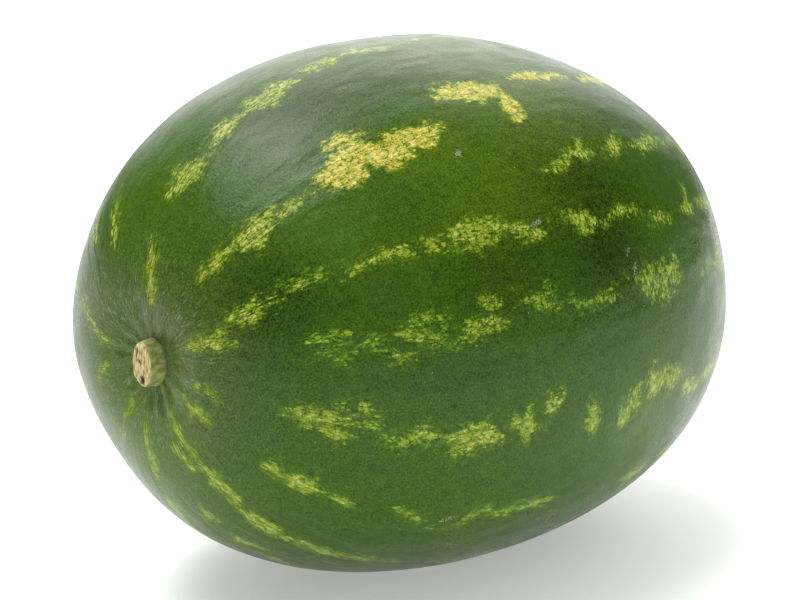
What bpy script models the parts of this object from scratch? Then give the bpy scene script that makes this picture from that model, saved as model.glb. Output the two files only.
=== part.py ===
"""A whole watermelon lying on its side, with the short stub of its stem.

Metres, +Z up. The fruit's long axis runs along X: the stem end is at -X and the
blossom end at +X. It rests at z = 0 on the small flat spot that it grew on, and
the origin is below the middle of its bounding box.

Angles round the long axis start at the top of the fruit and turn towards +Y.
"""

import math

import bmesh
import bpy
from mathutils import Vector

# The fruit, measured from the centre of its widest ring.
GIRTH_RADIUS = 0.110
STEM_HALF = 0.164
BLOSSOM_HALF = 0.145
STEM_FULLNESS = 2.3  # superellipse exponent: 2 is an ellipse, more is blunter
BLOSSOM_FULLNESS = 2.1

# The cross-section is a leaning oval with five soft swellings.
OVAL = 0.03  # share of the radius that the long way of the oval gains and the short way loses
OVAL_LEAN = 60.0  # the angle of its long way
SWELLINGS = 5
SWELLING = 0.01
SWELLING_LEAN = 25.0  # the angle of one crest

# The hollows that the stem and the flower left at the two ends.
STEM_DIMPLE_DEPTH = 0.007
STEM_DIMPLE_RADIUS = 0.017
BLOSSOM_DIMPLE_DEPTH = 0.0025
BLOSSOM_DIMPLE_RADIUS = 0.012
DIMPLE_FLOOR = STEM_DIMPLE_DEPTH - STEM_HALF  # where the stem's hollow is deepest, along X

FLAT_SPOT_DEPTH = 0.002  # how far the ground flattened the underside

# The stem stub, an oval peg that is taller (Z) than it is wide (Y) and leans as it rises.
STUB_HEIGHT = 0.007  # from the dimple's floor to the middle of the broken end
STUB_SLANT = 0.17  # how much further out the broken end stands at its -Y side, per metre
STUB_SECTIONS = (
    # (share of the height, half width, half height, share of the slant)
    (0.00, 0.0074, 0.0092, 0.0),
    (0.22, 0.0074, 0.0092, 0.0),
    (0.50, 0.0066, 0.0087, 0.3),
    (0.88, 0.0063, 0.0085, 0.9),
    (1.00, 0.0055, 0.0079, 1.0),
)
SOCKET_DEPTH = 0.002  # how far the rind holds the stub's foot, below the dimple's floor
TISSUE_GAP = 0.0003  # clearance between stub and rind

SEGMENTS = 72  # round the fruit
RINGS_PER_HALF = 22
STUB_SEGMENTS = 32

RIND_GREEN = (0.055, 0.115, 0.018, 1.0)
STEM_TAN = (0.30, 0.27, 0.11, 1.0)


def clear_scene():
    for thing in list(bpy.data.objects):
        bpy.data.objects.remove(thing)


def plain_material(name, colour, roughness):
    material = bpy.data.materials.new(name)
    material.use_nodes = True
    shader = material.node_tree.nodes["Principled BSDF"]
    shader.inputs["Base Color"].default_value = colour
    shader.inputs["Roughness"].default_value = roughness
    shader.inputs["Metallic"].default_value = 0.0
    return material


def new_object(name, mesh_builder, material=None, parent=None):
    """An object made from a bmesh, shaded smooth apart from its sharp edges."""
    mesh = bpy.data.meshes.new(name)
    mesh_builder.to_mesh(mesh)
    mesh_builder.free()
    mesh.shade_smooth()
    mesh.set_sharp_from_angle(angle=math.radians(35))
    made = bpy.data.objects.new(name, mesh)
    bpy.context.scene.collection.objects.link(made)
    if material:
        mesh.materials.append(material)
    made.parent = parent
    return made


def lobe_factor(angle):
    """The cross-section's radius at an angle round the axis, as a share of the round one."""
    oval = OVAL * math.cos(2 * (angle - math.radians(OVAL_LEAN)))
    swelling = SWELLING * math.cos(SWELLINGS * (angle - math.radians(SWELLING_LEAN)))
    return 1.0 + oval + swelling


def half_profile(half_length, fullness, dimple_depth, dimple_radius):
    """(distance from the widest ring, radius) from the pole to the widest ring, both included."""
    points = []
    for i in range(RINGS_PER_HALF + 1):
        turn = 0.5 * math.pi * i / RINGS_PER_HALF
        radius = GIRTH_RADIUS * math.sin(turn) ** (2.0 / fullness)
        along = half_length * math.cos(turn) ** (2.0 / fullness)
        hollow = dimple_depth * math.exp(-((radius / dimple_radius) ** 2))
        points.append((along - hollow, radius))
    return points


def fruit_profile():
    """The outline from the stem pole to the blossom pole, as points in the XZ plane."""
    stem = half_profile(STEM_HALF, STEM_FULLNESS, STEM_DIMPLE_DEPTH, STEM_DIMPLE_RADIUS)
    blossom = half_profile(
        BLOSSOM_HALF, BLOSSOM_FULLNESS, BLOSSOM_DIMPLE_DEPTH, BLOSSOM_DIMPLE_RADIUS
    )
    points = [Vector((-along, 0.0, radius)) for along, radius in stem]
    points += [Vector((along, 0.0, radius)) for along, radius in reversed(blossom[:-1])]
    return points


def swell_into_lobes(body):
    for vert in body.verts:
        factor = lobe_factor(math.atan2(vert.co.y, vert.co.z))
        vert.co.y *= factor
        vert.co.z *= factor


def cut_flat_spot(body):
    lowest = min(vert.co.z for vert in body.verts)
    bmesh.ops.bisect_plane(
        body,
        geom=body.verts[:] + body.edges[:] + body.faces[:],
        plane_co=(0.0, 0.0, lowest + FLAT_SPOT_DEPTH),
        plane_no=(0.0, 0.0, -1.0),
        clear_outer=True,
    )
    bmesh.ops.holes_fill(body, edges=[edge for edge in body.edges if edge.is_boundary], sides=0)


def build_melon(material, parent):
    """The fruit: its profile spun round the long axis, swelled into lobes and flattened below."""
    body = bmesh.new()
    chain = [body.verts.new(point) for point in fruit_profile()]
    edges = [body.edges.new(pair) for pair in zip(chain, chain[1:])]
    bmesh.ops.spin(
        body,
        geom=chain + edges,
        cent=(0.0, 0.0, 0.0),
        axis=(1.0, 0.0, 0.0),
        angle=math.tau,
        steps=SEGMENTS,
    )
    bmesh.ops.remove_doubles(body, verts=body.verts[:], dist=0.00001)
    swell_into_lobes(body)
    cut_flat_spot(body)
    bmesh.ops.recalc_face_normals(body, faces=body.faces[:])
    return new_object("melon", body, material, parent)


def oval_peg(sections):
    """A closed peg along X through ovals, each (x, half width in Y, half height in Z, slant)."""
    peg = bmesh.new()
    loops = []
    for x, half_width, half_height, slant in sections:
        ring = []
        for i in range(STUB_SEGMENTS):
            angle = math.tau * (i + 0.5) / STUB_SEGMENTS
            y = half_width * math.sin(angle)
            ring.append(peg.verts.new((x + slant * y, y, half_height * math.cos(angle))))
        loops.append([peg.edges.new(pair) for pair in zip(ring, ring[1:] + ring[:1])])
    for lower, upper in zip(loops, loops[1:]):
        bmesh.ops.bridge_loops(peg, edges=lower + upper)
    for end_loop in (loops[0], loops[-1]):
        bmesh.ops.contextual_create(peg, geom=end_loop)
    bmesh.ops.recalc_face_normals(peg, faces=peg.faces[:])
    return peg


def build_stub(material, parent):
    """What is left of the stem: a foot held by the rind, a waist and a slanted, broken end."""
    foot_width, foot_height = STUB_SECTIONS[0][1:3]
    sections = [(DIMPLE_FLOOR + SOCKET_DEPTH - TISSUE_GAP, foot_width, foot_height, 0.0)]
    for height_share, half_width, half_height, slant_share in STUB_SECTIONS:
        x = DIMPLE_FLOOR - height_share * STUB_HEIGHT
        sections.append((x, half_width, half_height, slant_share * STUB_SLANT))
    return new_object("stem_stub", oval_peg(sections), material, parent)


def cut_socket(melon, parent):
    """The oval socket in the rind that holds the stub's foot."""
    half_width, half_height = (size + TISSUE_GAP for size in STUB_SECTIONS[0][1:3])
    sections = (
        (DIMPLE_FLOOR + SOCKET_DEPTH, half_width, half_height, 0.0),
        (DIMPLE_FLOOR - 2.0 * STUB_HEIGHT, half_width, half_height, 0.0),
    )
    cutter = new_object("socket_cutter", oval_peg(sections), parent=parent)
    cutter.hide_render = True
    cutter.display_type = "WIRE"
    socket = melon.modifiers.new("socket", "BOOLEAN")
    socket.operation = "DIFFERENCE"
    socket.solver = "EXACT"
    socket.object = cutter


def stand_on_origin(axis, *solids):
    """Places the empty on the fruit's axis so that the box of the solids stands on the origin."""
    corners = [vert.co for solid in solids for vert in solid.data.vertices]
    low = Vector([min(corner[i] for corner in corners) for i in range(3)])
    high = Vector([max(corner[i] for corner in corners) for i in range(3)])
    middle = (low + high) / 2
    axis.location = (-middle.x, -middle.y, -low.z)


def build():
    clear_scene()
    axis = bpy.data.objects.new("fruit_axis", None)
    bpy.context.scene.collection.objects.link(axis)
    melon = build_melon(plain_material("rind", RIND_GREEN, 0.4), axis)
    stub = build_stub(plain_material("dry_stem", STEM_TAN, 0.8), axis)
    cut_socket(melon, axis)
    stand_on_origin(axis, melon, stub)


build()
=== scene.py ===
"""Looks of a whole watermelon lying on its side on a pale studio floor.

The rind is a fine mesh of the fruit's own shape. Places on it are given as a distance from
the stem end, measured along the rind in millimetres, and an angle round the long axis in
degrees, which starts at the top of the fruit and turns towards +Y. Each stripe is a few
patches in whole millimetres and degrees. The patches and the ground zones are given one by
one, but in part they are roundings of earlier tables that scratch programs had made. Seeded
chance lets the patches wander and bud, and the material breaks their edges up into the ragged
netting of a real rind.
"""

import math

import bpy
import numpy as np
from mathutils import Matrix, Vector
from mathutils import noise as perlin


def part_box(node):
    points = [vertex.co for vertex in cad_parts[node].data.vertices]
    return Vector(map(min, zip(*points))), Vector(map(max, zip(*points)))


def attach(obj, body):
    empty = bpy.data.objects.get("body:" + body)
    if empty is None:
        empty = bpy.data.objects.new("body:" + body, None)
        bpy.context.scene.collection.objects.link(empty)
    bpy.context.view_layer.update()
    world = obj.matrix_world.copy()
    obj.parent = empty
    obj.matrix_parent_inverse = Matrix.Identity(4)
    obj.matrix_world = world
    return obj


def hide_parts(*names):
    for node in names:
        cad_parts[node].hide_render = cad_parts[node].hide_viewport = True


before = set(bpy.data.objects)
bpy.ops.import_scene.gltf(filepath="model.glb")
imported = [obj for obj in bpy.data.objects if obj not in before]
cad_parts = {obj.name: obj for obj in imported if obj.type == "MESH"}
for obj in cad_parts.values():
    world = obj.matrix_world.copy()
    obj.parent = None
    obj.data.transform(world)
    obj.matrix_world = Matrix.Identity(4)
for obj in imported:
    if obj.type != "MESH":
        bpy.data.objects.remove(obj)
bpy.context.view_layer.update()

MM = 0.001

# The fruit, as designed: metres, from the centre of its widest ring.
GIRTH_RADIUS = 0.110
STEM_HALF = 0.164
BLOSSOM_HALF = 0.145
STEM_FULLNESS = 2.3
BLOSSOM_FULLNESS = 2.1
OVAL = 0.03  # share of the radius that the long way of the oval cross-section gains
OVAL_LEAN = 60.0  # the angle of its long way
SWELLINGS = 5
SWELLING = 0.01
SWELLING_LEAN = 25.0
STEM_DIMPLE = (0.007, 0.017)  # depth and radius
BLOSSOM_DIMPLE = (0.0025, 0.012)
FLAT_SPOT_DEPTH = 0.002

RINGS = 196
SEGMENTS = 500
PROFILE_STEPS = 4000

# Small unevenness of the rind. Lengths are in metres unless a comment says otherwise.
WAVE_DEPTH = 0.0007
WAVE_LENGTH = 0.045
STEM_PLEATS = 15
STEM_PLEAT_DEPTH = 0.0004
STEM_PLEAT_REACH = 30.0  # millimetres from the stem where the pleats have faded away

# The stripes: (angle, warmth, where its chance patches start, patches). A patch is (distance
# from the stem, angle, distance at its other end, angle there, half width in millimetres).
# Warmth goes from 0, lime green, to 1, straw yellow.
STRIPES = (
    (30, 0.4, 190, (
        (45, 30, 72, 34, 1.4),
    )),
    (0, 0.4, 190, (
        (22, -8, 46, 4, 1.8),
        (64, 4, 84, -2, 4.2),
        (90, 0, 108, 0, 3.0),
        (110, 0, 135, -1, 4.8),
        (142, 1, 165, 0, 3.0),
        (168, 0, 190, -3, 2.5),
    )),
    (-28, 1.0, 245, (
        (98, -35, 130, -36, 7.0),
        (125, -36, 155, -36, 4.5),
        (110, -28, 125, -28, 2.5),
        (166, -28, 198, -29, 6.0),
        (196, -31, 190, -40, 4.0),
        (210, -27, 245, -28, 2.5),
    )),
    (-35, 0.4, None, (
        (42, -35, 60, -35, 2.0),
        (58, -36, 78, -37, 4.5),
        (78, -37, 90, -38, 2.5),
    )),
    (-50, 0.3, 260, (
        (185, -53, 200, -52, 1.5),
        (200, -50, 215, -51, 3.0),
        (228, -51, 238, -49, 3.0),
        (245, -51, 270, -49, 2.5),
    )),
    (-66, 0.3, 260, (
        (22, -66, 42, -73, 2.0),
        (33, -66, 42, -65, 1.5),
        (42, -60, 58, -60, 1.0),
        (48, -64, 55, -64, 1.8),
        (68, -59, 78, -59, 1.8),
        (90, -61, 115, -61, 2.3),
        (118, -61, 130, -63, 1.2),
        (130, -61, 155, -62, 3.8),
        (155, -63, 170, -65, 2.4),
        (184, -63, 200, -66, 4.2),
        (208, -65, 225, -65, 2.2),
        (235, -68, 250, -68, 2.0),
    )),
    (-82, 0.15, 260, (
        (70, -77, 84, -77, 1.7),
        (72, -82, 84, -83, 1.5),
        (87, -81, 94, -79, 1.7),
        (96, -84, 104, -84, 1.8),
        (100, -79, 118, -82, 2.0),
        (107, -77, 117, -77, 1.6),
        (122, -83, 128, -83, 1.6),
        (125, -80, 142, -81, 2.2),
        (134, -76, 142, -77, 2.2),
        (154, -77, 166, -80, 3.6),
        (176, -80, 200, -81, 2.3),
        (215, -79, 248, -80, 4.8),
        (222, -83, 240, -84, 2.5),
    )),
    (-104, 0.2, 250, (
        (60, -101, 82, -101, 2.8),
        (72, -105, 80, -105, 1.8),
        (83, -102, 92, -102, 1.2),
        (85, -97, 90, -98, 1.4),
        (93, -105, 103, -106, 2.2),
        (103, -104, 115, -103, 2.7),
        (119, -104, 140, -104, 4.2),
        (144, -102, 158, -104, 3.8),
        (159, -101, 167, -98, 2.6),
        (184, -101, 188, -108, 4.0),
        (205, -108, 213, -101, 4.0),
        (218, -101, 248, -101, 4.4),
    )),
    (-124, 0.15, 225, (
        (57, -124, 64, -124, 1.2),
        (64, -125, 80, -124, 2.3),
        (82, -125, 92, -126, 1.0),
        (108, -124, 125, -128, 1.0),
        (137, -127, 145, -123, 2.0),
        (150, -124, 180, -123, 1.8),
    )),
    (-148, 0.2, 150, (
        (20, -148, 42, -147, 1.4),
        (30, -157, 42, -154, 1.8),
        (42, -146, 64, -149, 1.8),
        (64, -150, 86, -151, 3.0),
        (86, -150, 108, -149, 2.7),
        (108, -148, 135, -147, 1.8),
    )),
)
HIDDEN_STRIPES = 8  # the ones at the back and below, evenly spaced over the angle that is left
HIDDEN_WARMTH = 0.25
HIDDEN_START = 55  # millimetres from the stem where their chance patches start
STEM_FLECKS = (
    # Short patches round the stem, where the stripes run together.
    (20, -119, 34, -119, 1.3),
    (24, -101, 35, -103, 0.7),
    (25, 175, 50, 175, 1.5),
    (20, 148, 45, 148, 1.0),
    (23, 100, 32, 110, 1.2),
    (22, 78, 46, 68, 1.2),
)
STEM_FLECK_WARMTH = 0.25
LINK_GAP = 16.0  # patches of a stripe nearer than this, in millimetres, are faintly linked
FAINT_CAP = -2.2  # how near a stripe's edge the faint links come, in millimetres
STROKE_REACH = 60.0  # a stroke is only felt this far along the rind from its middle
FAR_END = 396.0  # every chance patch starts before this distance, near the blossom scar
STRIPE_SEED = 11
STRIPE_BEND_ALONG = (1.4, 0.008)  # how far edges are bent (millimetres), over what length (metres)
STRIPE_BEND_ROUND = (0.9, 0.007)
WARMTH_REACH = 2.5  # millimetres outside a stroke where its warmth counts about a third
NO_STRIPE = -40.0  # depth where no stroke is near

# How a given patch wanders, swells and buds.
PATCH_STEP = 6.0  # millimetres between the points of its stroke
PATCH_WANDER = 0.22  # how far they stray sideways, in half widths
PATCH_SWELL = (0.70, 1.15)  # least and greatest half width at a point, in given half widths
PATCH_TIP = 0.3  # what is left of the width at its two ends
BUD_CHANCE = 0.7
BUD_ASIDE = (0.8, 1.4)  # in half widths of the stroke there
BUD_ALONG = 4.0  # at most, in millimetres
BUD_ROOT = 0.6  # half width where a bud leaves the stroke, in half widths of the stroke
BUD_TIP = 0.45  # and where it ends

# The chance patches past the given ones: lengths in millimetres, drift in degrees.
FAR_LENGTH = (6, 26)
FAR_GAP = (1, 13)
FAR_HALF_WIDTH = (1.2, 3.6)
FAR_DRIFT = 4.5  # how far from its stripe's own angle a patch can drift
FAR_DRIFT_STEP = 2.2
FAR_BUD_CHANCE = 0.6
FAR_BUD_ASIDE = (2.0, 3.6)  # in degrees

# Broad changes of the ground green: (distance from the stem, angle, reach in millimetres,
# amount). Tones above 0 are olive, below 0 darker and bluer; shades are plain lightness, but the
# two on the top of the fruit, under the softbox's highlight, are painted shade.
GROUND_TONES = (
    (170, -45, 40, 0.9),
    (210, -40, 30, 0.6),
    (100, -60, 30, -0.4),
    (120, -90, 40, -0.3),
    (260, -90, 30, -0.4),
)
GROUND_LIGHTNESS_AND_PAINTED_SHADE = (
    (145, -72, 20, -0.35),
    (200, -73, 25, -0.40),
    (60, -60, 20, -0.40),
    (200, -57, 30, -0.35),
    # Painted shade: these two darken the top of the fruit under the softbox's highlight.
    (120, -12, 30, -0.35),
    (170, -15, 30, -0.25),
    (250, -38, 30, -0.25),
    (90, -51, 15, 0.35),
    (35, 160, 35, 0.45),
    (225, -110, 25, 0.20),
)

# Pale scuffs: (distance from the stem, angle, length, how far it leans off the meridian in
# degrees, half width), lengths in millimetres.
SCUFFS = (
    (213, -73, 3, 60, 0.5),
    (215, -77, 5, 75, 0.7),
    (131, -126, 6, 35, 0.4),
    (168, -63, 5, 20, 0.6),
    (151, -44, 2, 40, 0.7),
)


def smoothstep(low, high, value):
    share = np.clip((value - low) / (high - low), 0.0, 1.0)
    return share * share * (3.0 - 2.0 * share)


# ---------------------------------------------------------------- the fruit's own coordinates


def half_profile(half_length, fullness, dimple):
    """(distance from the widest ring, radius) from the pole to the widest ring, in metres."""
    turn = np.linspace(0.0, math.pi / 2, PROFILE_STEPS)
    radius = GIRTH_RADIUS * np.sin(turn) ** (2.0 / fullness)
    along = half_length * np.cos(turn) ** (2.0 / fullness)
    depth, dimple_radius = dimple
    return along - depth * np.exp(-((radius / dimple_radius) ** 2)), radius


def rind_profile():
    """Distance from the stem along the rind (millimetres), x and radius (metres)."""
    stem_x, stem_r = half_profile(STEM_HALF, STEM_FULLNESS, STEM_DIMPLE)
    blossom_x, blossom_r = half_profile(BLOSSOM_HALF, BLOSSOM_FULLNESS, BLOSSOM_DIMPLE)
    x = np.concatenate([-stem_x, blossom_x[-2::-1]])
    radius = np.concatenate([stem_r, blossom_r[-2::-1]])
    steps = np.hypot(np.diff(x), np.diff(radius)) / MM
    return np.concatenate([[0.0], np.cumsum(steps)]), x, radius


PROFILE_S, PROFILE_X, PROFILE_R = rind_profile()
RIND_LENGTH = PROFILE_S[-1]


def lobe_factor(angle):
    """The cross-section's radius at an angle in radians, as a share of the round one."""
    oval = OVAL * np.cos(2 * (angle - math.radians(OVAL_LEAN)))
    return 1.0 + oval + SWELLING * np.cos(SWELLINGS * (angle - math.radians(SWELLING_LEAN)))


def noise_field(points, size, seed):
    """Smooth noise from -1 to 1 at each point, with features about size apart."""
    shift = Vector((seed * 17.3, seed * 5.1, seed * 9.7))
    scaled = points / size
    return np.array([perlin.noise(Vector(p) + shift) for p in scaled])


# ------------------------------------------------------------------------------- the stripes


def wrapped(angle):
    return (angle + 180.0) % 360.0 - 180.0


def stroke_depth(s, angle, stroke):
    """How far inside a stroke each point is, in millimetres: negative outside."""
    depth = np.full(s.shape, -np.inf)
    for (s0, a0, w0), (s1, a1, w1) in zip(stroke, stroke[1:]):
        radius = np.interp((s0 + s1) / 2, PROFILE_S, PROFILE_R) / MM
        across = np.radians(wrapped(angle - a0)) * radius
        run = (s1 - s0, math.radians(wrapped(a1 - a0)) * radius)
        length_squared = run[0] ** 2 + run[1] ** 2
        share = np.clip(((s - s0) * run[0] + across * run[1]) / length_squared, 0.0, 1.0)
        gap = np.hypot(s - s0 - share * run[0], across - share * run[1])
        depth = np.maximum(depth, w0 + share * (w1 - w0) - gap)
    return depth


def patch_strokes(rng, patch):
    """A patch as a stroke that wanders and swells, with small buds at its sides."""
    start, start_angle, end, end_angle, half_width = patch
    radius = np.interp((start + end) / 2, PROFILE_S, PROFILE_R) / MM
    length = math.hypot(end - start, math.radians(end_angle - start_angle) * radius)
    steps = max(2, round(length / PATCH_STEP))
    share = np.linspace(0.0, 1.0, steps + 1)
    wander = np.degrees(rng.normal(0.0, PATCH_WANDER * half_width, steps + 1) / radius)
    width = half_width * rng.uniform(*PATCH_SWELL, steps + 1)
    width[[0, -1]] *= PATCH_TIP
    s = start + share * (end - start)
    angle = start_angle + share * (end_angle - start_angle) + wander
    stroke = list(zip(s, angle, width))
    strokes = [stroke]
    for s0, a0, w0 in stroke[1:]:
        if rng.random() < BUD_CHANCE:
            side = rng.choice([-1.0, 1.0]) * math.degrees(rng.uniform(*BUD_ASIDE) * w0 / radius)
            bud = (s0 + rng.uniform(-BUD_ALONG, BUD_ALONG), a0 + side, BUD_TIP * w0)
            strokes.append([(s0, a0, BUD_ROOT * w0), bud])
    return strokes


def faint_links(patches):
    """Thin strokes that join the end of each patch to the start of the next one, if it is near."""
    links = []
    for (_, _, end, end_angle, w0), (start, start_angle, _, _, w1) in zip(patches, patches[1:]):
        if 0.0 < start - end < LINK_GAP:
            links.append([(end, end_angle, 0.6 * w0), (start, start_angle, 0.6 * w1)])
    return links


def hidden_stripes():
    """Stripes without given patches, evenly spaced between the first and last visible one."""
    first, last = STRIPES[0][0], STRIPES[-1][0] + 360.0
    for i in range(HIDDEN_STRIPES):
        angle = first + (last - first) * (i + 1) / (HIDDEN_STRIPES + 1)
        yield angle, HIDDEN_WARMTH, HIDDEN_START, ()


def far_strokes(rng, start, base_angle):
    """Patches of random length, width and drift that carry a stripe on to the blossom end."""
    strokes = []
    if start is None:
        return strokes
    s = start + rng.uniform(0, 12)
    drift = rng.uniform(-2, 2)
    while s < FAR_END:
        radius = np.interp(s, PROFILE_S, PROFILE_R) / MM
        size = 0.35 + 0.65 * radius / (GIRTH_RADIUS / MM)
        length = rng.uniform(*FAR_LENGTH)
        step = rng.uniform(-FAR_DRIFT_STEP, FAR_DRIFT_STEP)
        drift = np.clip(drift + step, -FAR_DRIFT, FAR_DRIFT)
        width = rng.uniform(*FAR_HALF_WIDTH) * size
        middle = s + length / 2
        first = (s, base_angle + drift + rng.uniform(-1.5, 1.5), 0.45 * width)
        second = (middle, base_angle + drift, width)
        third = (s + length, base_angle + drift + rng.uniform(-2, 2), 0.5 * width)
        strokes.append((first, second, third))
        if rng.random() < FAR_BUD_CHANCE:
            side = rng.choice([-1.0, 1.0]) * rng.uniform(*FAR_BUD_ASIDE)
            offset = (middle + rng.uniform(-6, 6), base_angle + drift + side, 0.6 * width)
            strokes.append(((middle, base_angle + drift, 0.7 * width), offset))
        s += length + rng.uniform(*FAR_GAP)
    return strokes


def stripe_fields(points, s, angle):
    """Depth in millimetres inside the nearest stripe stroke, and that stroke's warmth."""
    rng = np.random.default_rng(STRIPE_SEED)
    bend, bend_size = STRIPE_BEND_ALONG
    bent_s = s + bend * noise_field(points, bend_size, 1)
    radius = np.maximum(np.interp(s, PROFILE_S, PROFILE_R) / MM, 6.0)
    bend, bend_size = STRIPE_BEND_ROUND
    bent_angle = angle + np.degrees(bend * noise_field(points, bend_size, 2) / radius)
    depth = np.full(s.shape, NO_STRIPE)
    warmth = np.zeros(s.shape)
    weight = np.full(s.shape, 1e-9)
    flecks = (0, STEM_FLECK_WARMTH, None, STEM_FLECKS)
    links = []
    for base_angle, warm, far_start, patches in (*STRIPES, flecks, *hidden_stripes()):
        links += faint_links(patches)
        strokes = [stroke for patch in patches for stroke in patch_strokes(rng, patch)]
        for stroke in strokes + far_strokes(rng, far_start, base_angle):
            near = np.abs(s - np.mean([point[0] for point in stroke])) < STROKE_REACH
            inside = stroke_depth(bent_s[near], bent_angle[near], stroke)
            depth[near] = np.maximum(depth[near], inside)
            closeness = np.exp(np.clip(inside, -30, 0) / WARMTH_REACH)
            warmth[near] += closeness * warm
            weight[near] += closeness
    for link in links:
        depth = np.maximum(depth, np.minimum(stroke_depth(bent_s, bent_angle, link), FAINT_CAP))
    return depth, warmth / weight


def zone_field(s, angle, zones):
    """The sum of soft round zones, each (distance from the stem, angle, reach, amount)."""
    total = np.zeros(s.shape)
    radius = np.interp(s, PROFILE_S, PROFILE_R) / MM
    for zone_s, zone_angle, reach, amount in zones:
        across = np.radians(wrapped(angle - zone_angle)) * radius
        total += amount * np.exp(-((s - zone_s) ** 2 + across**2) / reach**2)
    return total


def scuff_depth(s, angle):
    """How far inside a pale scuff each point is, in millimetres."""
    depth = np.full(s.shape, -10.0)
    for scuff_s, scuff_angle, length, lean, half_width in SCUFFS:
        radius = np.interp(scuff_s, PROFILE_S, PROFILE_R) / MM
        along = 0.5 * length * math.cos(math.radians(lean))
        turn = math.degrees(0.5 * length * math.sin(math.radians(lean)) / radius)
        ends = (
            (scuff_s - along, scuff_angle - turn, half_width),
            (scuff_s + along, scuff_angle + turn, half_width),
        )
        depth = np.maximum(depth, stroke_depth(s, angle, ends))
    return depth


# ------------------------------------------------------------------------------------ meshes


def fitted(points, low, high):
    """Points moved and slightly stretched to fill the box from low to high."""
    own_low = points.min(0)
    own_size = points.max(0) - own_low
    return np.array(low) + (points - own_low) * (np.array(high - low) / own_size)


def closed_grid_faces(rings, segments):
    """Quads of a tube of rings, and the triangles that close it onto its two poles."""
    ring, step = np.meshgrid(np.arange(rings - 1), np.arange(segments), indexing="ij")
    after = (step + 1) % segments
    quads = np.stack(
        [
            ring * segments + step,
            ring * segments + after,
            (ring + 1) * segments + after,
            (ring + 1) * segments + step,
        ],
        axis=-1,
    ).reshape(-1, 4)
    first_pole = rings * segments
    last = (rings - 1) * segments
    caps = []
    for i in range(segments):
        j = (i + 1) % segments
        caps.append((first_pole, j, i))
        caps.append((first_pole + 1, last + i, last + j))
    return quads.tolist() + caps


def mesh_object(name, points, faces, attributes, material):
    """A smooth-shaded object with float or vector attributes on its points."""
    mesh = bpy.data.meshes.new(name)
    mesh.from_pydata(points.tolist(), [], faces)
    for label, values in attributes.items():
        kind, field = ("FLOAT_VECTOR", "vector") if values.ndim == 2 else ("FLOAT", "value")
        layer = mesh.attributes.new(label, kind, "POINT")
        layer.data.foreach_set(field, values.astype(np.float32).ravel())
    mesh.shade_smooth()
    mesh.materials.append(material)
    made = bpy.data.objects.new(name, mesh)
    bpy.context.scene.collection.objects.link(made)
    return made


def place(made, node):
    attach(made, "root")
    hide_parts(node)


def build_rind(material):
    """The whole rind, with its hollows, soft waves, pleats round the stem and flat spot."""
    ring_s = RIND_LENGTH * np.arange(1, RINGS + 1) / (RINGS + 1)
    ring_angle = math.tau * np.arange(SEGMENTS) / SEGMENTS
    s = np.concatenate([np.repeat(ring_s, SEGMENTS), [0.0, RIND_LENGTH]])
    theta = np.concatenate([np.tile(ring_angle, RINGS), [0.0, 0.0]])
    x = np.interp(s, PROFILE_S, PROFILE_X)
    radius = np.interp(s, PROFILE_S, PROFILE_R) * lobe_factor(theta)
    points = np.stack([x, radius * np.sin(theta), radius * np.cos(theta)], axis=1)

    waves = noise_field(points, WAVE_LENGTH, 3) + 0.5 * noise_field(points, WAVE_LENGTH / 2.6, 4)
    pleat_fade = smoothstep(STEM_PLEAT_REACH, 12.0, s) * smoothstep(7.0, 13.0, s)
    wobble = 0.8 * noise_field(points, 0.012, 5)
    pleats = np.cos(STEM_PLEATS * theta + 2.0 * wobble) * (0.6 + 0.4 * wobble)
    sink = 0.5 * WAVE_DEPTH * (waves - 1.5) + STEM_PLEAT_DEPTH * pleat_fade * (pleats - 1.0)
    shrink = 1.0 + sink / GIRTH_RADIUS
    points = points * shrink[:, None]
    points[:, 2] = np.maximum(points[:, 2], points[:, 2].min() + FLAT_SPOT_DEPTH)
    points = fitted(points, *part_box("melon"))

    angle = wrapped(np.degrees(theta))
    depth, warmth = stripe_fields(points, s, angle)
    lattice_radius = GIRTH_RADIUS / MM
    lattice = np.stack([s, lattice_radius * np.sin(theta), lattice_radius * np.cos(theta)], axis=1)
    fields = {
        "stripe_depth": depth,
        "stripe_warmth": warmth,
        "ground_tone": zone_field(s, angle, GROUND_TONES),
        "ground_lightness_and_painted_shade": zone_field(s, angle, GROUND_LIGHTNESS_AND_PAINTED_SHADE),
        "scuff_depth": scuff_depth(s, angle),
        "lattice": lattice,
    }
    faces = closed_grid_faces(RINGS, SEGMENTS)
    made = mesh_object("rind", points, faces, fields, material)
    place(made, "melon")


# The stem stub: (share of its height, half width in Y, half height in Z, share of the slant).
STUB_SECTIONS = (
    (-0.30, 0.0078, 0.0096, 0.0),
    (0.00, 0.0075, 0.0093, 0.0),
    (0.22, 0.0072, 0.0091, 0.0),
    (0.50, 0.0067, 0.0088, 0.3),
    (0.84, 0.0065, 0.0087, 0.85),
    (0.93, 0.0063, 0.0085, 0.95),
    (0.98, 0.0059, 0.0081, 1.0),
    (1.00, 0.0054, 0.0076, 1.0),
)
STUB_HEIGHT = 0.007
STUB_SLANT = 0.17
STUB_SIDE_RINGS = 50
STUB_FACE_RINGS = 46
STUB_SEGMENTS = 180
STUB_ROUGHNESS = 0.0008  # how far the broken end is torn in and out
STUB_PITS = (
    # (middle in Y, middle in Z, reach in Y, reach in Z, depth)
    (0.0016, 0.0030, 0.0030, 0.0032, 0.9),
    (-0.0002, -0.0058, 0.0018, 0.0016, 1.0),
    (-0.0026, -0.0008, 0.0012, 0.0036, 0.5),
)


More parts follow.
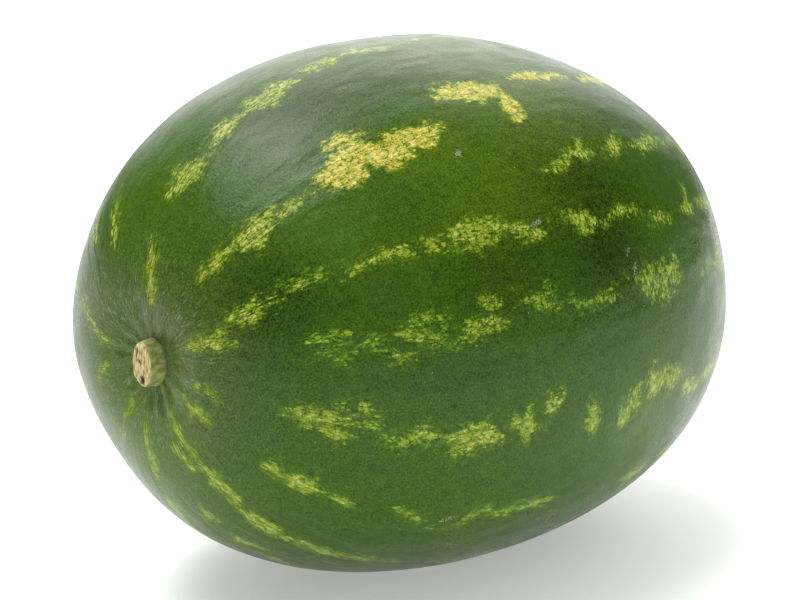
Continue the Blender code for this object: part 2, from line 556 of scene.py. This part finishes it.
def stub_grid():
    """Height share, spread from the middle (0 to 1) and angle of every point of the stub."""
    side = np.linspace(STUB_SECTIONS[0][0], 1.0, STUB_SIDE_RINGS)
    face = np.linspace(1.0, 0.0, STUB_FACE_RINGS + 2)[1:-1]
    height = np.concatenate([side, np.ones(len(face))])
    spread = np.concatenate([np.ones(len(side)), face])
    theta = math.tau * np.arange(STUB_SEGMENTS) / STUB_SEGMENTS
    height_all = np.concatenate([np.repeat(height, STUB_SEGMENTS), [height[0], 1.0]])
    spread_all = np.concatenate([np.repeat(spread, STUB_SEGMENTS), [0.0, 0.0]])
    return height_all, spread_all, np.concatenate([np.tile(theta, len(height)), [0.0, 0.0]])


def build_stub(material):
    """The corky remnant of the stem: a softly ribbed side and a pitted, torn end."""
    height, spread, theta = stub_grid()
    shares, widths, heights, slants = (np.array(column) for column in zip(*STUB_SECTIONS))
    outline = spread * (1.0 + 0.02 * np.cos(3 * theta + 0.6) + 0.015 * np.cos(5 * theta + 2.0))
    y = np.interp(height, shares, widths) * outline * np.sin(theta)
    z = np.interp(height, shares, heights) * outline * np.cos(theta)
    x = STUB_SLANT * np.interp(height, shares, slants) * y - height * STUB_HEIGHT
    points = np.stack([x, y, z], axis=1)

    end = smoothstep(0.80, 1.0, height)
    ribs = noise_field(np.stack([0.3 * x, y, z], axis=1), 0.0021, 6)
    lumps = noise_field(points, 0.0048, 7)
    swell = (1.0 - end) * smoothstep(-0.1, 0.2, height) * (0.00013 * ribs + 0.00035 * lumps)
    radial = np.hypot(y, z) + 1e-9
    fibres = noise_field(np.stack([x, y, 0.45 * z], axis=1), 0.0012, 8)
    pitted = np.zeros(len(points))
    for middle_y, middle_z, reach_y, reach_z, depth in STUB_PITS:
        away = ((y - middle_y) / reach_y) ** 2 + ((z - middle_z) / reach_z) ** 2
        pitted = np.maximum(pitted, depth * np.exp(-away))
    hollow = end * pitted * smoothstep(0.1, -0.35, fibres)
    points[:, 1] += y / radial * swell
    points[:, 2] += z / radial * swell
    points[:, 0] -= end * STUB_ROUGHNESS * (0.5 * fibres + 0.4 * lumps - 1.3 * hollow)

    points = fitted(points, *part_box("stem_stub"))
    fields = {
        "broken_end": end,
        "hollow": hollow,
        "foot": smoothstep(0.28, -0.05, height),
    }
    faces = closed_grid_faces(STUB_SIDE_RINGS + STUB_FACE_RINGS, STUB_SEGMENTS)
    made = mesh_object("stem_stub_corky", points, faces, fields, material)
    place(made, "stem_stub")


# --------------------------------------------------------------------------------- materials


def node_material(name):
    material = bpy.data.materials.new(name)
    material.use_nodes = True
    return material


class Shading:
    """Short calls that add nodes to a material or world. Inputs may be values or sockets."""

    def __init__(self, owner):
        self.tree = owner.node_tree
        if isinstance(owner, bpy.types.World):
            self.tree.nodes.clear()
        else:
            self.shader = self.tree.nodes["Principled BSDF"]

    def add(self, kind, inputs=(), **settings):
        made = self.tree.nodes.new("ShaderNode" + kind)
        for key, value in settings.items():
            setattr(made, key, value)
        for key, value in dict(inputs).items():
            self.feed(made.inputs[key], value)
        return made

    def feed(self, socket, value):
        if isinstance(value, bpy.types.NodeSocket):
            self.tree.links.new(value, socket)
        else:
            socket.default_value = value

    def dot(self, first, second):
        inputs = {0: first, 1: second}
        return self.add("VectorMath", inputs, operation="DOT_PRODUCT").outputs["Value"]

    def attribute(self, name, output="Fac"):
        return self.add("Attribute", attribute_name=name).outputs[output]

    def math(self, operation, first, second=0.0, clamp=False):
        inputs = {0: first, 1: second}
        return self.add("Math", inputs, operation=operation, use_clamp=clamp).outputs[0]

    def smooth(self, value, low, high, start=0.0, end=1.0):
        inputs = {0: value, 1: low, 2: high, 3: start, 4: end}
        return self.add("MapRange", inputs, interpolation_type="SMOOTHSTEP").outputs[0]

    def mix(self, share, first, second, blend="MIX"):
        inputs = {0: share, 6: first, 7: second}
        made = self.add("Mix", inputs, data_type="RGBA", blend_type=blend)
        return made.outputs[2]

    def stretched(self, vector, factors):
        inputs = {0: vector, 1: factors}
        return self.add("VectorMath", inputs, operation="MULTIPLY").outputs[0]

    def grey(self, value):
        return self.add("CombineColor", {0: value, 1: value, 2: value}).outputs[0]

    def weighted(self, first, *terms):
        """The first value plus each further value times its number."""
        for value, factor in terms:
            inputs = {0: value, 1: factor, 2: first}
            first = self.add("Math", inputs, operation="MULTIPLY_ADD").outputs[0]
        return first

    def noise(self, vector, size, detail=2.0, roughness=0.5):
        inputs = {"Vector": vector, "Scale": 1.0 / size, "Detail": detail, "Roughness": roughness}
        return self.add("TexNoise", inputs).outputs["Fac"]

    def centred_noise(self, vector, size, detail=2.0, roughness=0.5):
        return self.math("SUBTRACT", self.noise(vector, size, detail, roughness), 0.5)

    def fleck_noise(self, lattice, stretch):
        """Noise for flecks, and thin lines for the veins between them, from 0 to 1."""
        along = self.stretched(lattice, stretch)
        winding = self.centred_noise(along, 2.6, 3.0, 0.6)
        vein = self.smooth(self.math("ABSOLUTE", winding), 0.0, 0.052, 1.0, 0.0)
        return self.centred_noise(along, 1.5, 4.0, 0.68), vein

    def blend(self, share, first, second):
        return self.add("Mix", {0: share, 2: first, 3: second}, data_type="FLOAT").outputs[0]

    def place_mm(self):
        """The place on the object, in millimetres."""
        return self.stretched(self.add("TexCoord").outputs["Object"], (1000.0, 1000.0, 1000.0))

    def bump(self, height, strength, distance):
        inputs = {"Height": height, "Strength": strength, "Distance": distance}
        self.feed(self.shader.inputs["Normal"], self.add("Bump", inputs).outputs[0])

    def voronoi(self, vector, size, feature="F1", output="Distance"):
        inputs = {"Vector": vector, "Scale": 1.0 / size}
        return self.add("TexVoronoi", inputs, feature=feature).outputs[output]


BLUE_GREEN = (0.032, 0.076, 0.009, 1.0)
LEAF_GREEN = (0.036, 0.085, 0.004, 1.0)
OLIVE_GREEN = (0.055, 0.104, 0.003, 1.0)
GREY_GREEN = (0.060, 0.092, 0.024, 1.0)
STREAK_GREEN = (0.234, 0.299, 0.143, 1.0)
PRICK_GREEN = (0.260, 0.364, 0.169, 1.0)
LIME_EDGE = (0.065, 0.137, 0.004, 1.0)
LIME = (0.138, 0.245, 0.010, 1.0)
PALE_LIME = (0.255, 0.370, 0.045, 1.0)
MILKY_LIME = (0.364, 0.442, 0.117, 1.0)
STRAW_EDGE = (0.100, 0.165, 0.006, 1.0)
STRAW = (0.390, 0.358, 0.044, 1.0)
PALE_STRAW = (0.650, 0.559, 0.182, 1.0)
CREAM = (0.598, 0.481, 0.221, 1.0)
SCUFF_GREY = (0.442, 0.468, 0.325, 1.0)
SCAR_BROWN = (0.130, 0.091, 0.033, 1.0)
SCAR_TAN = (0.390, 0.312, 0.143, 1.0)
SKIN_OLIVE = (0.124, 0.156, 0.031, 1.0)
SKIN_PALE = (0.305, 0.325, 0.104, 1.0)
SKIN_GREEN = (0.072, 0.111, 0.021, 1.0)
CORK_BROWN = (0.195, 0.156, 0.052, 1.0)
CORK_TAN = (0.559, 0.481, 0.215, 1.0)
CORK_PINK = (0.520, 0.364, 0.182, 1.0)
# painted shade for the pits of the stub's torn end
PIT_PAINTED_SHADE = (0.046, 0.029, 0.010, 1.0)
WHITE = (1.0, 1.0, 1.0, 1.0)
ROUGHNESS = (0.26, 0.34)  # of the wax, at its glossiest and dullest
WAX_IOR = 1.42
WAX_SPECULAR = 0.18  # below a real wax, so that the mirrored pale floor greys the rind less
RIND_BUMP = (0.6, 0.0004)  # strength, and height in metres
STUB_BUMP = (0.5, 0.0003)
PRICK_SPACING = 8.0  # millimetres between the pale pin-pricks, about
PRICKLESS = 0.6  # share of the places for a pin-prick that stay empty


def rind_material():
    """Dark green ground with a waxy gloss and ragged, netted stripes."""
    material = node_material("rind")
    mat = Shading(material)
    lattice = mat.attribute("lattice", "Vector")
    place_mm = mat.place_mm()
    from_stem = mat.add("SeparateXYZ", {0: lattice}).outputs[0]
    ground, fine = ground_colour(mat, place_mm, lattice, from_stem)
    colour, level = striped_colour(mat, place_mm, lattice, from_stem, ground)
    colour, worn = worn_colour(mat, place_mm, from_stem, colour, fine)
    mat.feed(mat.shader.inputs["Base Color"], colour)

    gloss = mat.smooth(mat.noise(place_mm, 14.0, 3.0), 0.3, 0.7, ROUGHNESS[0], ROUGHNESS[1])
    pale = mat.smooth(level, 0.5, 0.9)
    gloss = mat.weighted(gloss, (pale, 0.05), (worn, 0.3))
    mat.feed(mat.shader.inputs["Roughness"], gloss)
    mat.shader.inputs["IOR"].default_value = WAX_IOR
    mat.shader.inputs["Specular IOR Level"].default_value = WAX_SPECULAR
    pores = mat.noise(place_mm, 1.3, 3.0, 0.6)
    dents = mat.noise(mat.stretched(lattice, (0.5, 1.0, 1.0)), 9.0, 1.0)
    dents = mat.math("MULTIPLY", dents, mat.smooth(from_stem, 30.0, 90.0, 0.6, 2.6))
    relief = mat.weighted(dents, (pores, 0.7), (pale, 0.10))
    mat.bump(relief, *RIND_BUMP)
    return material


def ground_colour(mat, place_mm, lattice, from_stem):
    """The green between the stripes, and the fine noise that it is grained with."""
    broad = mat.centred_noise(place_mm, 45.0, 3.0)
    wide_halo = mat.smooth(mat.attribute("stripe_depth"), -14.0, 0.0)
    tone = mat.weighted(mat.attribute("ground_tone"), (broad, 2.2), (wide_halo, 0.35))
    ground = mat.mix(mat.smooth(tone, -0.9, 0.1), BLUE_GREEN, LEAF_GREEN)
    ground = mat.mix(mat.smooth(tone, 0.1, 1.1), ground, OLIVE_GREEN)
    near_stem = mat.smooth(from_stem, 75.0, 8.0, 0.0, 0.75)
    ground = mat.mix(near_stem, ground, GREY_GREEN)

    fine = mat.centred_noise(place_mm, 0.68, 2.0, 0.7)
    coarse = mat.centred_noise(place_mm, 3.0, 2.0, 0.6)
    # The grain and the zones set the ground's lightness; the zones on the top add painted shade
    # under the highlight.
    shade = mat.weighted(1.0, (fine, 2.8), (coarse, 0.7), (mat.attribute("ground_lightness_and_painted_shade"), 1.0))
    shade = mat.math("MAXIMUM", shade, 0.12)
    ground = mat.mix(1.0, ground, mat.grey(shade), "MULTIPLY")

    # Short pale streaks that run out from the stem.
    streaks = mat.noise(mat.stretched(lattice, (0.45, 0.60, 0.60)), 1.4, 3.0, 0.6)
    streaks = mat.smooth(streaks, 0.55, 0.70)
    streaks = mat.math("MULTIPLY", streaks, mat.smooth(from_stem, 52.0, 12.0, 0.0, 0.8))
    ground = mat.mix(streaks, ground, STREAK_GREEN)

    # Scattered pale pin-pricks.
    dots = mat.add("TexVoronoi", {"Vector": place_mm, "Scale": 1.0 / PRICK_SPACING})
    chance = mat.add("SeparateColor", {0: dots.outputs["Color"]}).outputs[0]
    spot = mat.smooth(dots.outputs["Distance"], 0.045, 0.025, 0.0, 0.6)
    dots = mat.math("MULTIPLY", spot, mat.math("GREATER_THAN", chance, PRICKLESS))
    return mat.mix(dots, ground, PRICK_GREEN), fine


def striped_colour(mat, place_mm, lattice, from_stem, ground):
    """The ground with its stripes on it, and how deep inside a patch each place is (0 to 1)."""
    ragged = mat.centred_noise(place_mm, 6.0, 4.0, 0.62)
    feather = mat.centred_noise(mat.stretched(lattice, (0.30, 1.0, 1.0)), 2.6, 3.0, 0.6)
    depth = mat.weighted(mat.attribute("stripe_depth"), (ragged, 8.0), (feather, 7.0))

    fleck, vein = mat.fleck_noise(lattice, (0.55, 1.0, 1.0))
    fleck_far, vein_far = mat.fleck_noise(lattice, (1.0, 0.55, 0.55))
    far = mat.smooth(from_stem, 165.0, 215.0)
    fleck = mat.blend(far, fleck, fleck_far)
    vein = mat.blend(far, vein, vein_far)
    bend = mat.add("TexNoise", {"Vector": place_mm, "Scale": 0.5, "Detail": 2.0}).outputs["Color"]
    inputs = {0: bend, 1: (2.4, 2.4, 2.4), 2: place_mm}
    bent = mat.add("VectorMath", inputs, operation="MULTIPLY_ADD").outputs[0]
    crack = mat.smooth(mat.voronoi(bent, 2.8, "DISTANCE_TO_EDGE"), 0.0, 0.16, 1.0, 0.0)
    near = mat.smooth(depth, -5.0, -1.0)
    level = mat.smooth(depth, -4.2, 2.6)
    mottle = mat.centred_noise(place_mm, 30.0)
    warmth = mat.weighted(mat.attribute("stripe_warmth"), (mottle, 0.6))
    warmth = mat.math("ADD", warmth, 0.0, clamp=True)
    low_down = mat.smooth(mat.add("SeparateXYZ", {0: lattice}).outputs[2], 0.0, -55.0)
    broken = mat.weighted(mat.math("MULTIPLY", fleck, 2.4), (vein, -0.80), (crack, -0.45))
    broken = mat.math("MULTIPLY", broken, mat.weighted(1.0, (warmth, -0.4), (low_down, -0.45)))
    level = mat.math("ADD", level, mat.math("MULTIPLY", broken, near))
    bright = mat.weighted(level, (fleck, 2.0))
    edge = mat.mix(warmth, LIME_EDGE, STRAW_EDGE)
    middle = mat.mix(warmth, LIME, STRAW)
    pale = mat.mix(warmth, mat.mix(low_down, PALE_LIME, MILKY_LIME), PALE_STRAW)
    creamy = mat.smooth(mat.noise(place_mm, 5.0, 3.0), 0.45, 0.65, 0.0, 0.8)
    pale = mat.mix(creamy, pale, mat.mix(warmth, pale, CREAM))
    colour = mat.mix(mat.smooth(level, 0.10, 0.36), ground, edge)
    colour = mat.mix(mat.smooth(level, 0.40, 0.78), colour, middle)
    return mat.mix(mat.smooth(bright, 0.84, 1.40), colour, pale), level


def worn_colour(mat, place_mm, from_stem, colour, fine):
    """The colour with its pale scuffs and the blossom scar, and where these are."""
    scuffed = mat.weighted(mat.attribute("scuff_depth"), (fine, 6.0))
    scuffed = mat.smooth(scuffed, -0.5, 0.5)
    colour = mat.mix(mat.math("MULTIPLY", scuffed, 0.42), colour, SCUFF_GREY)
    to_blossom = mat.math("SUBTRACT", RIND_LENGTH, from_stem)
    scar_edge = mat.weighted(to_blossom, (mat.centred_noise(place_mm, 2.0, 3.0), 6.0))
    scar = mat.smooth(scar_edge, 5.4, 3.6)
    cork = mat.mix(mat.smooth(fine, -0.15, 0.15), SCAR_BROWN, SCAR_TAN)
    return mat.mix(scar, colour, cork), mat.math("MAXIMUM", scar, scuffed)


def stub_material():
    """Dry cork on the torn end, with painted shade in its pits, and olive skin on the side."""
    material = node_material("dry_stem")
    mat = Shading(material)
    place_mm = mat.place_mm()
    skin = mat.noise(mat.stretched(place_mm, (0.4, 1.0, 1.0)), 1.8, 4.0, 0.6)
    fibre = mat.noise(mat.stretched(place_mm, (1.0, 1.0, 0.4)), 0.9, 3.0, 0.65)
    patch = mat.noise(place_mm, 3.5, 2.0)
    side = mat.mix(mat.smooth(skin, 0.36, 0.66), SKIN_OLIVE, SKIN_PALE)
    side = mat.mix(mat.attribute("foot"), side, SKIN_GREEN)
    end = mat.mix(mat.smooth(fibre, 0.36, 0.62), CORK_BROWN, CORK_TAN)
    end = mat.mix(mat.smooth(patch, 0.50, 0.66, 0.0, 0.6), end, CORK_PINK)
    torn = mat.weighted(mat.attribute("broken_end"), (mat.math("SUBTRACT", skin, 0.5), 1.2))
    colour = mat.mix(mat.smooth(torn, 0.30, 0.75), side, end)
    # Painted shade: the pits of the torn end are darkened to near black.
    colour = mat.mix(mat.smooth(mat.attribute("hollow"), 0.10, 0.55), colour, PIT_PAINTED_SHADE)
    mat.feed(mat.shader.inputs["Base Color"], colour)
    mat.feed(mat.shader.inputs["Roughness"], mat.smooth(fibre, 0.3, 0.7, 0.62, 0.88))
    mat.bump(fibre, *STUB_BUMP)
    return material


# ------------------------------------------------------------------------------------ studio

VIEW_AZIMUTH = math.radians(-49.4)
VIEW_ELEVATION = math.radians(12.1)
VIEW_DISTANCE = 0.768
VIEW_LENS = 81.4
CLIP_START = 0.05
VIEW_ASIDE = -0.014  # from the fruit's axis at its widest ring to the point looked at
VIEW_DOWN = -0.003

# Radiance of the studio: a dim front, a bright backdrop and a long softbox overhead. Where the
# camera looks past the floor, it sees plain white.
FRONT_LIGHT = 0.06
BACKDROP_LIGHT = 2.5
BACKDROP_TILT = math.radians(30)
BACKDROP_REACH = (0.74, 1.00)  # cosines of the angles where it has faded, and starts to fade
SOFTBOX_DIRECTION = (-0.09, 0.29, 0.95)
SOFTBOX_LENGTHWISE = (0.80, 0.60, 0.0)
SOFTBOX_HALF_LENGTH = (0.54, 0.05)  # sines of the angles where it has faded, and starts to fade
SOFTBOX_HALF_WIDTH = (0.36, 0.02)
SOFTBOX_LIGHT = 16.0
FILL_DIRECTION = (0.05, -0.60, 0.80)  # a broad, matte light that lifts the shadows
FILL_STRENGTH = 2.0
FILL_ANGLE = math.radians(150)
FLOOR_RADIUS = 6.0
FLOOR_SIDES = 128
FLOOR_GREY = 0.80
FLOOR_ROUGHNESS = 0.9
FLOOR_SPECULAR = 0.1
FLOOR_GLOW = 0.34  # the floor is a lit table, which keeps the shadow pale


def view_axes():
    """Unit vectors from the object to the camera, to its right and up."""
    turn, lift = VIEW_AZIMUTH, VIEW_ELEVATION
    level = math.cos(lift)
    back = Vector((math.sin(turn) * level, -math.cos(turn) * level, math.sin(lift)))
    right = Vector((math.cos(turn), math.sin(turn), 0.0))
    return back, right, back.cross(right)


def widest_ring_middle():
    """Where the fruit's long axis passes through its widest ring."""
    low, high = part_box("melon")
    turn = np.linspace(0.0, math.tau, SEGMENTS)
    radius = GIRTH_RADIUS * lobe_factor(turn)
    y = high.y - (radius * np.sin(turn)).max()
    z = low.z - (radius * np.cos(turn)).min() - FLAT_SPOT_DEPTH
    return Vector((high.x - PROFILE_X.max(), y, z))


def add_camera():
    back, right, up = view_axes()
    target = widest_ring_middle() + right * VIEW_ASIDE + up * VIEW_DOWN
    data = bpy.data.cameras.new("camera")
    data.lens = VIEW_LENS
    data.clip_start = CLIP_START
    camera = bpy.data.objects.new("camera", data)
    camera.location = target + back * VIEW_DISTANCE
    camera.rotation_mode = "QUATERNION"
    camera.rotation_quaternion = (-back).to_track_quat("-Z", "Y")
    bpy.context.scene.collection.objects.link(camera)
    bpy.context.scene.camera = camera


def add_floor():
    material = node_material("floor")
    mat = Shading(material)
    mat.shader.inputs["Base Color"].default_value = (FLOOR_GREY, FLOOR_GREY, FLOOR_GREY, 1.0)
    mat.shader.inputs["Roughness"].default_value = FLOOR_ROUGHNESS
    mat.shader.inputs["Specular IOR Level"].default_value = FLOOR_SPECULAR
    mat.shader.inputs["Emission Color"].default_value = WHITE
    mat.shader.inputs["Emission Strength"].default_value = FLOOR_GLOW
    sides, radius = FLOOR_SIDES, FLOOR_RADIUS
    bpy.ops.mesh.primitive_circle_add(vertices=sides, radius=radius, fill_type="NGON")
    floor = bpy.context.object
    floor.name = "floor"
    floor.data.materials.append(material)


def add_fill():
    """A broad light with soft shadows that leaves no mark in the gloss."""
    data = bpy.data.lights.new("fill", "SUN")
    data.energy = FILL_STRENGTH
    data.angle = FILL_ANGLE
    fill = bpy.data.objects.new("fill", data)
    fill.rotation_mode = "QUATERNION"
    fill.rotation_quaternion = Vector(FILL_DIRECTION).to_track_quat("Z", "Y")
    fill.visible_glossy = False
    bpy.context.scene.collection.objects.link(fill)


def add_world():
    """A studio all round, with a plain white backdrop where the camera sees past the floor."""
    world = bpy.data.worlds.new("studio")
    bpy.context.scene.world = world
    world.use_nodes = True
    sky = Shading(world)

    towards = sky.add("TexCoord").outputs["Generated"]
    tilt = math.cos(BACKDROP_TILT)
    away = (-math.sin(VIEW_AZIMUTH), math.cos(VIEW_AZIMUTH))
    behind = (away[0] * tilt, away[1] * tilt, math.sin(BACKDROP_TILT))
    backdrop = sky.smooth(sky.dot(towards, behind), *BACKDROP_REACH)
    middle = Vector(SOFTBOX_DIRECTION).normalized()
    lengthwise = Vector(SOFTBOX_LENGTHWISE)
    lengthwise = (lengthwise - lengthwise.dot(middle) * middle).normalized()
    across = middle.cross(lengthwise)
    softbox = sky.math("GREATER_THAN", sky.dot(towards, middle), 0.0)
    for axis, reach in ((lengthwise, SOFTBOX_HALF_LENGTH), (across, SOFTBOX_HALF_WIDTH)):
        offset = sky.math("ABSOLUTE", sky.dot(towards, axis))
        softbox = sky.math("MULTIPLY", softbox, sky.smooth(offset, *reach))
    backdrop_gain = BACKDROP_LIGHT - FRONT_LIGHT
    level = sky.weighted(FRONT_LIGHT, (backdrop, backdrop_gain), (softbox, SOFTBOX_LIGHT))
    studio = sky.add("Background", {0: WHITE, 1: level})
    white = sky.add("Background", {0: WHITE})
    seen = sky.add("LightPath").outputs["Is Camera Ray"]
    chosen = sky.add("MixShader", {0: seen, 1: studio.outputs[0], 2: white.outputs[0]})
    sky.add("OutputWorld", {0: chosen.outputs[0]})


def build_studio():
    add_camera()
    add_floor()
    add_fill()
    add_world()
    bpy.context.scene.view_settings.view_transform = "Standard"


build_rind(rind_material())
build_stub(stub_material())
build_studio()
